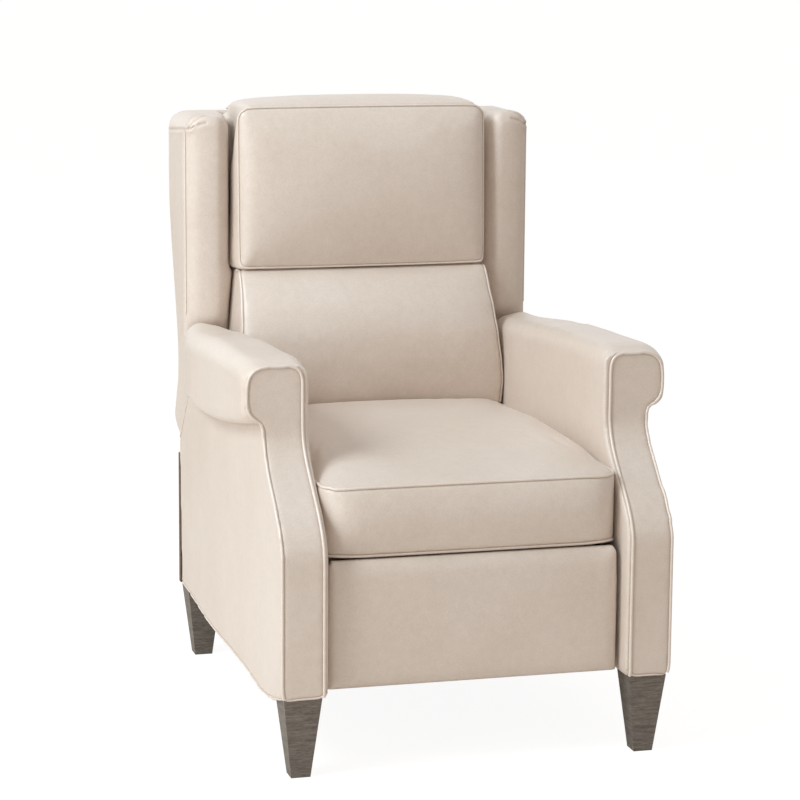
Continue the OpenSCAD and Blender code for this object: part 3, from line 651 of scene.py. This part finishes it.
def on_surface(cover, path, gap=0.006, closed=False, relax=3):
    tree = BVHTree.FromObject(cover, bpy.context.evaluated_depsgraph_get())
    line = [tree.find_nearest(p)[0] for p in evenly(path, gap, closed)]
    for _ in range(relax):
        line = [line[i] if not closed and i in (0, len(line) - 1)
                else (line[i - 1] + 2 * line[i] + line[(i + 1) % len(line)]) / 4 for i in range(len(line))]
    return line


def split_along(cover, line, reach, closed=False):
    mesh = cover.data
    centers = np.empty(len(mesh.polygons) * 3)
    mesh.polygons.foreach_get("center", centers)
    near = distance_to(centers.reshape(-1, 3), line, closed) < reach
    for layer in (mesh.vertices, mesh.edges):
        layer.foreach_set("select", np.zeros(len(layer), bool))
    mesh.polygons.foreach_set("select", near)
    pick(cover)
    bpy.ops.object.mode_set(mode="EDIT")
    bpy.ops.mesh.select_mode(type="FACE")
    bpy.ops.mesh.subdivide(number_cuts=1)
    bpy.ops.object.mode_set(mode="OBJECT")


def press(cover, line, depth, reach, closed=False, shade=0.0, shade_reach=0.004):
    co = points_of(cover)
    away = distance_to(co, line, closed)
    normals = np.array([tuple(v.normal) for v in cover.data.vertices])
    move_points(cover, co - normals * (depth * np.exp(-((away / reach) ** 2)))[:, None])
    # The seam attribute takes painted shade along the line, darkest where the groove lies.
    layer = cover.data.attributes.get("seam") or cover.data.attributes.new("seam", "FLOAT", "POINT")
    values = np.zeros(len(co), np.float32)
    layer.data.foreach_get("value", values)
    values = np.maximum(values, shade * np.clip(1 - away / shade_reach, 0, 1)).astype(np.float32)
    layer.data.foreach_set("value", values)


def seam(cover, path, ridge=0.0011, groove=0.0022, shade=0.55, closed=False):
    line = on_surface(cover, path, closed=closed)
    split_along(cover, line, 0.011, closed)
    press(cover, line, -ridge, 0.008, closed)
    press(cover, line, groove, 0.0028, closed, shade)


# %% Piping
def welt(name, path, cover, body, radius=0.0023, closed=False, lift=0.5, groove=0.0016, shade=0.8, relax=3):
    line = on_surface(cover, path, 0.005, closed, relax)
    split_along(cover, line, 0.010, closed)
    press(cover, line, groove, radius + 0.0022, closed, shade, radius + 0.0028)
    tree = BVHTree.FromObject(cover, bpy.context.evaluated_depsgraph_get())
    data = bpy.data.curves.new(name, "CURVE")
    data.dimensions = "3D"
    data.bevel_depth = radius
    data.bevel_resolution = 3
    data.use_fill_caps = True
    spline = data.splines.new("POLY")
    spline.points.add(len(line) - 1)
    lifted = [hit + normal * (radius * lift) for hit, normal, _, _ in (tree.find_nearest(p) for p in line)]
    for point, place in zip(spline.points, lifted):
        point.co = (*place, 1)
    spline.use_cyclic_u = closed
    ob = bpy.data.objects.new(name, data)
    scene.collection.objects.link(ob)
    pick(ob)
    bpy.ops.object.convert(target="MESH")
    ob = bpy.context.view_layer.objects.active
    bpy.ops.object.shade_smooth()
    # Painted shade: the piping darkens towards the cover, where it lies in shadow.
    layer = ob.data.attributes.new("seam", "FLOAT", "POINT")
    for vertex in ob.data.vertices:
        hit, normal, _, _ = tree.find_nearest(vertex.co)
        layer.data[vertex.index].value = max(0.0, min(1.0, 1 - (vertex.co - hit).dot(normal) / 0.0014))
    ob.data.materials.append(piping_painted_highlight)
    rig.slot(ob, "ivory_leather")
    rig.ride(ob, body)
    return ob


print("tools ready")

# %% [markdown]
# ## Arms
# One arm is covered all round: outer panel, inner panel, roll and front facing are cut apart and
# sewn, but the leather wraps the front edge without a break. So the four solids are joined and
# remeshed as one cover. A welt runs round the facing a little inside its edge, a finer one trims
# the hem, and a third follows the slanted edge that the back leaves when it leans. The remesh
# leaves steps along the wavy hem, so its points are drawn back to the hem's own line, and the
# roll sinks a little in the middle of its length, where arms rest.

# %% Lines of one arm
FRONT_SET, KNEE, ROLL_SEAT = 142, 383, 602
OUTSIDE = 350
ROLL_MIDDLE = 328


def ease(v, a, b):
    return (1 - math.cos(math.pi * min(1, max(0, (v - a) / (b - a))))) / 2


def front_edge(z):
    return FRONT_SET * ease(z, KNEE, ROLL_SEAT - 20)


def arc(cx, cz, r, a0, a1, n=7):
    return [(cx + r * math.cos(math.radians(a0 + (a1 - a0) * i / n)),
             cz + r * math.sin(math.radians(a0 + (a1 - a0) * i / n))) for i in range(n + 1)]


facing_line = ([(275, 145), (275, 380), (276, 480), (278.5, 560), (279, 600)]
               + arc(296, 676, 17, 180, 90) + arc(346, 663, 31, 90, 0) + arc(354, 621, 23, 0, -78)
               + [(352, 596.5), (349.5, 592), (348.5, 584), (348.5, 145)])
facing_line = [(p.x, p.y) for p in evenly([(x, z, 0) for x, z in facing_line], 8, False)]
hem_line = [(872, 144), (853, 144), (794, 142), (720, 137.5), (626, 129), (528, 126.5), (441, 127.5),
            (349, 128.5), (273, 126.5), (211, 122.5), (163, 119.5), (109, 122.4), (51, 131), (16, 142)]
for _ in range(3):
    cut = [(a * (1 - t) + c * t, b * (1 - t) + e * t)
           for (a, b), (c, e) in zip(hem_line, hem_line[1:]) for t in (0.25, 0.75)]
    hem_line = [hem_line[0]] + cut + [hem_line[-1]]
print("hem line", len(hem_line), "places")


# %% Shaping an arm
def level_hem(cover):
    co = points_of(cover)
    x, d, z = in_mm(co)
    outer = x > 332
    stops = np.arange(24, 868, 8)
    lowest = np.interp(d, stops, [z[outer & (np.abs(d - stop) < 6)].min() for stop in stops])
    wave = np.array(hem_line[::-1])
    wanted = np.interp(d, wave[:, 0], wave[:, 1])
    shift = (wanted - lowest) * np.clip(1 - (z - lowest) / 25, 0, 1) * part_way(d, 16, 40)
    co[:, 2] += outer * shift / 1000
    move_points(cover, co)


def shape_roll(cover):
    co = points_of(cover)
    x, d, z = in_mm(co)
    rear_corner = 5 * part_way(d, 600, 760) ** 2 * part_way(x, 318, 273)
    sag = np.interp(d, [120, 142, 200, 300, 440, 500, 540, 590, 640, 690, 750],
                    [0, 2, 4, 8, 12, 13.5, 12.5, 9.5, 6.5, 4, 0])
    drop = rear_corner + (0.95 + 0.25 * ((x - ROLL_MIDDLE) / 50) ** 2) * sag
    lift = 4 * np.exp(-((d - 788) / 28) ** 2) * np.clip(1 - np.abs(x - ROLL_MIDDLE) / 34, 0, 1)
    co[:, 2] -= (drop - lift) * part_way(z, 600, 645) / 1000
    move_points(cover, co)


def under_roll(d):
    return 595 - 54 * math.sin(math.pi / 2 * min(1, (d - 142) / 440)) + 50 * ease(d, 772, 824)


# %% Arm covers
for side, s in (("left", 1), ("right", -1)):
    nodes = [f"{n}_{side}" for n in ("outer_arm_panel", "inner_arm_panel", "arm_roll", "arm_facing")]
    cover = cover_from(f"arm_cover_{side}", nodes, 0.005, 5)
    level_hem(cover)
    shape_roll(cover)
    # Under the roll a groove without a ridge, darkened as painted shade where the roll overhangs the outer panel.
    roll_crease_painted_shade = [at(s * OUTSIDE, d, under_roll(d) + 1) for d in range(160, 800, 16)]
    seam(cover, roll_crease_painted_shade, ridge=0, groove=0.0025, shade=0.7)
    facing = [at(s * x, front_edge(z), z) for x, z in facing_line]
    welt(f"facing_welt_{side}", facing, cover, "base", radius=0.0028, relax=9)
    hem = [at(s * OUTSIDE, d, z) for d, z in hem_line[1:]]
    hem += [at(s * x, d, z) for x, d, z in ((345, 6, 142.5), (338, 1, 142.5), (280, 0, 142.5),
                                            (271, 0, 145.5), (267, 1, 154))]
    welt(f"hem_welt_{side}", hem, cover, "base", radius=0.0019, groove=0.001, relax=10)
    slant = [at(s * OUTSIDE, 773, 548), at(s * OUTSIDE, 869, 434)]
    welt(f"slant_welt_{side}", slant, cover, "base", radius=0.0021)
    finish_cover(cover, nodes, "base", ivory, fill=0.8)

# %% [markdown]
# ## Seat cushion
# A boxed cushion: a crowned top, a straight band and a flat underside, with a welt round both
# edges. The welts and the underside are held while it is filled. Before that its front band is
# bowed out and its top is raised to a dome, which stays under the lumbar cushion at the rear.

# %% Seat cushion's welts
SEAT_HALF, SEAT_REAR, LOW_WELT, TOP_WELT, SEAT_CORNER = 264, 757, 375.5, 497, 30


def plan_loop(half, d0, d1, z, r):
    front = [(-half + r + r * math.cos(math.radians(a)), d0 + r + r * math.sin(math.radians(a)))
             for a in range(180, 271, 15)]
    return [at(x, d, z) for x, d in front + [(-x, d) for x, d in reversed(front)] + [(half, d1), (-half, d1)]]


seat_low = plan_loop(SEAT_HALF, 44, SEAT_REAR, LOW_WELT, SEAT_CORNER)
seat_high = plan_loop(SEAT_HALF, 43.5, SEAT_REAR, TOP_WELT, SEAT_CORNER)
print("seat welts", len(seat_low), "places each")

# %% Seat cushion's dome
seat = cover_from("seat_cover", ["seat_cushion"], 0.005, 3)
co = points_of(seat)
x, d, z = in_mm(co)
bow = 11 * np.sin(np.pi * part_way(z, 378, 494)) ** 0.8 * (1 - (1 - part_way(x, SEAT_HALF, 206)) ** 2)
bow -= 9 * part_way(x, 190, SEAT_HALF) ** 2
co[:, 1] -= bow * part_way(d, 70, 45) / 1000
step = part_way(d, 610, 700)
rise = step ** 2 * (3 - 2 * step) * part_way(z, 480, 490)
puff = part_way(z, 494, 498) * part_way(x, 262, 232) ** 0.6 * part_way(d, 50, 200) * part_way(d, 770, 710)
side_fill = part_way(x, 60, 210) * np.interp(d, [100, 300, 430, 540, 640, 700], [1, 1.05, 1, 0.65, 0.2, 0])
co[:, 2] += (5 * rise + (9 + 14 * side_fill) * puff) / 1000
move_points(seat, co)
print("seat dome rises by", round(float(((9 + 14 * side_fill) * puff).max()), 1), "mm")

# %% Seat cushion filled and piped
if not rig.quick():
    inflate(seat, lambda co: (distance_to(co, seat_high) < 0.006) | (distance_to(co, seat_low) < 0.006)
            | (co[:, 2] < 0.375) | behind(co, 750), pressure=4, cap=0.010)
co = points_of(seat)
_, d, _ = in_mm(co)
ceiling = np.interp(d, [640, 690, 703, 712, 760], [545, 519, 516.5, 506.5, 500]) / 1000
co[:, 2] = np.where(behind(co, 640), np.minimum(co[:, 2], ceiling), co[:, 2])
move_points(seat, co)
welt("seat_top_welt", seat_high, seat, "seat", closed=True, radius=0.0026)
welt("seat_bottom_welt", seat_low, seat, "seat", closed=True, radius=0.0028)
finish_cover(seat, ["seat_cushion"], "seat", ivory, fill=0.8)

# %% [markdown]
# ## Back cushions
# The head cushion is a deep pillow with a welt round its front panel. Its top corners droop a
# little, and its side bands bulge past the welt. The lumbar cushion leans forward to the seat. It
# has welts at its two sides only, and they curl back over its top corners, under the head cushion.

# %% Head cushion
HEAD_HALF, HEAD_LOW, HEAD_TOP = 252, 775, 1084


def droop(x, d, z):
    corner = part_way(np.abs(x), 200, HEAD_HALF) ** 2 * part_way(z, 1040, HEAD_TOP)
    return (3 + 11 * part_way(d, 800, 890)) * corner


head_front = []
for x, z in (arc(-238, 790, 14, 180, 270) + arc(238, 790, 14, 270, 360)
             + arc(236, 1068, 16, 0, 90) + arc(-236, 1068, 16, 90, 180)):
    back = 790 + (z - 773) * 0.035 + 6 * ease(abs(x), 240, HEAD_HALF)
    head_front.append(at(x * 0.982, back, z - 2 - droop(x, 800, z)))
head = cover_from("head_cover", ["head_cushion"], 0.005, 3)
co = points_of(head)
x, d, z = in_mm(co)
inside = np.clip(np.minimum(np.minimum(HEAD_HALF - x, z - HEAD_LOW), HEAD_TOP - z) / 68, 0, 1)
crown = 9 * (1 - (1 - inside) ** 2.6) + 4
co[:, 1] -= crown * part_way(d, 815, 797) / 1000
co[:, 0] *= 1 - 0.018 * part_way(d, 846, 800)
bulge = np.exp(-((d - 848) / 16) ** 2) * part_way(x, 225, 245) * part_way(z, 1070, 1040)
co[:, 0] += np.sign(co[:, 0]) * 3.2 * bulge / 1000
co[:, 2] -= (4 * part_way(z, 812, 782) + droop(x, d, z)) / 1000
move_points(head, co)
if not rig.quick():
    inflate(head, lambda co: (distance_to(co, head_front) < 0.006) | behind(co, 840), pressure=4.5, cap=0.010)
welt("head_front_welt", head_front, head, "back", radius=0.0021, closed=True, groove=0.0012, shade=0.7)
finish_cover(head, ["head_cushion"], "back", ivory, fill=0.85)


# %% Lumbar cushion's welts
LUMBAR_FOOT, LUMBAR_HEAD = 511, 769
LUMBAR_TALL = LUMBAR_HEAD - LUMBAR_FOOT


def lumbar_edge(u):
    swell = 30 * math.sin(math.pi * u) ** 0.8
    return 791 - 75 * u - 0.96 * swell, LUMBAR_HEAD - LUMBAR_TALL * u + 0.28 * swell


def lumbar_side(z):
    return SEAT_HALF - 24 * (z - LUMBAR_FOOT) / LUMBAR_TALL + 6 * min(1, (z - LUMBAR_FOOT) / 40)


lumbar_lines = []
for s in (-1, 1):
    line = [at(s * 248, 822, 770), at(s * 248.5, 806, 772), at(s * 248, 794, 769)]
    for i in range(1, 20):
        d, z = lumbar_edge(i / 20)
        line.append(at(s * lumbar_side(z), d + 4, z))
    lumbar_lines.append(line + [at(s * 265, 719, 503)])
print("lumbar welts", len(lumbar_lines[0]), "places each")

# %% Lumbar cushion
lumbar = cover_from("lumbar_cover", ["lumbar_cushion"], 0.005, 5)
co = points_of(lumbar)
x, _, z = in_mm(co)
co[:, 2] -= (3 + 9 * (x / SEAT_HALF) ** 2) * part_way(z, 560, 515) / 1000
x, _, z = in_mm(co)
co[:, 0] += np.sign(co[:, 0]) * 6 * part_way(z, LUMBAR_FOOT, 551) * part_way(x, 150, 230) / 1000
move_points(lumbar, co)
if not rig.quick():
    inflate(lumbar, lambda co: (distance_to(co, lumbar_lines[0], False) < 0.006)
            | (distance_to(co, lumbar_lines[1], False) < 0.006)
            | (co[:, 2] < 0.512) | behind(co, 850), pressure=3, cap=0.008)
for side, line in zip(("right", "left"), lumbar_lines):
    welt(f"lumbar_welt_{side}", line, lumbar, "back", radius=0.0026)
finish_cover(lumbar, ["lumbar_cushion"], "back", ivory, fill=0.75)

# %% Lower back pad
lower = cover_from("lower_back_cover", ["lower_back_pad"], 0.006, 4)
finish_cover(lower, ["lower_back_pad"], "back", ivory, fill=0.6)

# %% [markdown]
# ## Wings and back
# The wings' padded fronts, the side panels, the rear panel and the top band are sewn into one
# shell over the wooden frame. A plain seam runs down each wing's outer front corner, another
# closes the top band, and four pleats take up the leather where it turns over each wing's top.
# Each pad's front falls back towards its edges, and its foot is tucked in behind the arm's roll.

# %% Back shell
PAD_INNER, PAD_OUTER, WING_OUTER = 256, 334.7, 344
shell_nodes = ["outer_back_panel", "wing_side_panel_left", "wing_side_panel_right", "top_band",
               "wing_pad_left", "wing_pad_right"]
shell = cover_from("back_shell", shell_nodes, 0.0055, 5, widen=(PAD_INNER, PAD_OUTER, WING_OUTER))
co = points_of(shell)
x, d, z = in_mm(co)
co[:, 2] -= 13 * np.exp(-((z - 672) / 17) ** 2) * (x > 250) * part_way(d, 850, 840) / 1000
front = part_way(d, 850, 820) * part_way(z, 610, 630) * (x > 240)
fall = 15 * part_way(x, 283, 345) ** 1.6 + 19 * part_way(x, 284, PAD_INNER) ** 1.5
inward = np.clip(0.093 * (z - LUMBAR_FOOT) - 16.5, 0, 8) * part_way(z, 775, 760) * part_way(x, 294, 258)
inward *= (x > 240) * (d > 800) * (d < 884) * (z > 600)
co[:, 1] += front * fall / 1000
co[:, 0] -= np.sign(co[:, 0]) * inward / 1000
move_points(shell, co)
print("wing pads fall back by", round(float((front * fall).max()), 1), "mm at most")

# %% Rounded top corners of the wings
CORNER_X, CORNER_Z, CORNER_R = 309, 1028, 36
x = np.abs(co[:, 0]) * 1000
reach = np.hypot(np.maximum(x - CORNER_X, 0), np.maximum(z - CORNER_Z, 0))
outside = (x > CORNER_X) & (z > CORNER_Z) & (reach > CORNER_R)
over = np.where(outside, CORNER_R / np.maximum(reach, 1), 1)
co[:, 0] = np.where(over < 1, np.sign(co[:, 0]) * (CORNER_X + (x - CORNER_X) * over) / 1000, co[:, 0])
co[:, 2] = np.where(over < 1, (CORNER_Z + (z - CORNER_Z) * over) / 1000, co[:, 2])
move_points(shell, co)
applied(shell, "SMOOTH", factor=0.5, iterations=2)
print("points drawn in", int(outside.sum()))

# %% Pleats, seams and welts of the wings
pleats = (((344, 823, 1041), (341, 838, 1050), (330, 850, 1060), (300, 862, 1065)),
          ((344, 821, 1041), (339, 830, 1049), (327, 838, 1058), (302, 845, 1063)),
          ((343, 819, 1041), (337, 822, 1047), (325, 825, 1055), (305, 829, 1060)),
          ((342, 817, 1040), (335, 815, 1044), (322, 814, 1049), (306, 814, 1052)))
# Each pleat and seam is pressed in as a groove and darkened along it as painted shade.
for s in (1, -1):
    for pleat in pleats:
        seam(shell, [at(s * x, d, z) for x, d, z in pleat], ridge=0.0012, groove=0.0028, shade=0.95)
    seam(shell, [at(s * WING_OUTER, 986, z) for z in range(640, 1030, 20)], ridge=0.0008, groove=0.0015)
cap = [(826 + 10 * i, 1040 - 0.9 * i) for i in range(17)]
band = [at(-345, d, z) for d, z in cap] + [at(x, 992, 1024) for x in range(-335, 336, 20)]
seam(shell, band + [at(345, d, z) for d, z in reversed(cap)], groove=0.0026, shade=0.8)
for side, s in (("left", 1), ("right", -1)):
    wing_line = [at(s * 345, 836, z) for z in range(684, 1041, 12)]
    welt(f"wing_welt_{side}", wing_line, shell, "back", radius=0.0022, lift=0.2)
finish_cover(shell, shell_nodes, "back", ivory, fill=0.7)

# %% [markdown]
# The base has its own padded panel at the rear. Between it and the outer arm panels a narrow gap
# runs down each side; a thin dark brown strip stands in it as painted shade.

# %% Rear panel of the base
rear = cover_from("rear_cover", ["rear_panel"], 0.004, 2)
finish_cover(rear, ["rear_panel"], "base", ivory, fill=0.5)
# A thin dark brown strip in each rear gap, as painted shade.
for side, s in (("left", 1), ("right", -1)):
    bpy.ops.object.select_all(action="DESELECT")
    bpy.ops.mesh.primitive_cube_add(size=1, location=at(s * 347.5, 878.5, 270), scale=(0.003, 0.015, 0.26))
    strip = bpy.context.active_object
    strip.name = f"rear_gap_shade_strip_{side}"
    bpy.ops.object.transform_apply(location=True, rotation=True, scale=True)
    applied(strip, "BEVEL", width=0.0008, segments=2)
    strip.data.materials.append(gap_shade_brown)
    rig.ride(strip, "base")

# %% [markdown]
# ## Footrest
# Closed, the footrest is the plain panel under the seat cushion. Its leather is drawn tight over
# a thin pad, so it only swells a little between its edges.

# %% Footrest cover
foot = cover_from("footrest_cover", ["footrest_pad"], 0.004, 3)
co = points_of(foot)
x, d, z = in_mm(co)
inside = np.clip(np.minimum(np.minimum(257 - x, z - 147), 368 - z) / 26, 0, 1)
co[:, 1] += (8 * (1 - inside) ** 2 - 2) * part_way(d, 44, 32) / 1000
co[:, 0] *= 1.019
co[:, 2] += 3 * part_way(z, 340, 365) / 1000
move_points(foot, co)
finish_cover(foot, ["footrest_pad"], "footrest", ivory, fill=0.7)

# %% [markdown]
# ## Frame, steel and legs
# These solids are already right, so they only get their finish.

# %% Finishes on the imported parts
def finish_of(node):
    if node.startswith(("leg_front", "leg_rear")):
        return leg_wood
    # The arm frames show only through the rear gaps, so they take the dark brown painted shade.
    if node.startswith("arm_frame"):
        return gap_shade_brown
    if node in ("front_rail", "rear_rail", "rear_top_rail", "footrest_board"):
        return pine_across
    if node.startswith(("wing_board", "back_frame")):
        return pine_up
    if node == "seat_frame":
        return pine_long
    if node == "seat_deck":
        return lining_cloth
    if node == "back_webbing":
        return webbing_cloth
    if node.endswith(("_pins", "_screws", "_bolts", "_springs")):
        return zinc
    return black_steel


for name, ob in frame["nodes"].items():
    if not ob.hide_render:
        ob.data.materials.clear()
        ob.data.materials.append(finish_of(name))
    if name.startswith(("leg_front", "leg_rear")):
        joined = ob.modifiers.new("joined", "WELD")
        joined.merge_threshold = 0.00002
        edges = ob.modifiers.new("eased_edges", "BEVEL")
        edges.width = 0.0016
        edges.segments = 2
        edges.limit_method = "ANGLE"
print("packed parts shown", sum(not ob.hide_render for ob in frame["nodes"].values()))

# %% [markdown]
# ## Size
# Leather and padding may stand a little proud of the imported chair, and no more. Both boxes are
# written down, so they can be compared.

# %% Measure and write the boxes
visual_box = [[float(v) for v in corner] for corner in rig.bounds()]
json.dump({"cad": cad_box, "visual": visual_box}, open("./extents.json", "w"))
print(open("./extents.json").read())
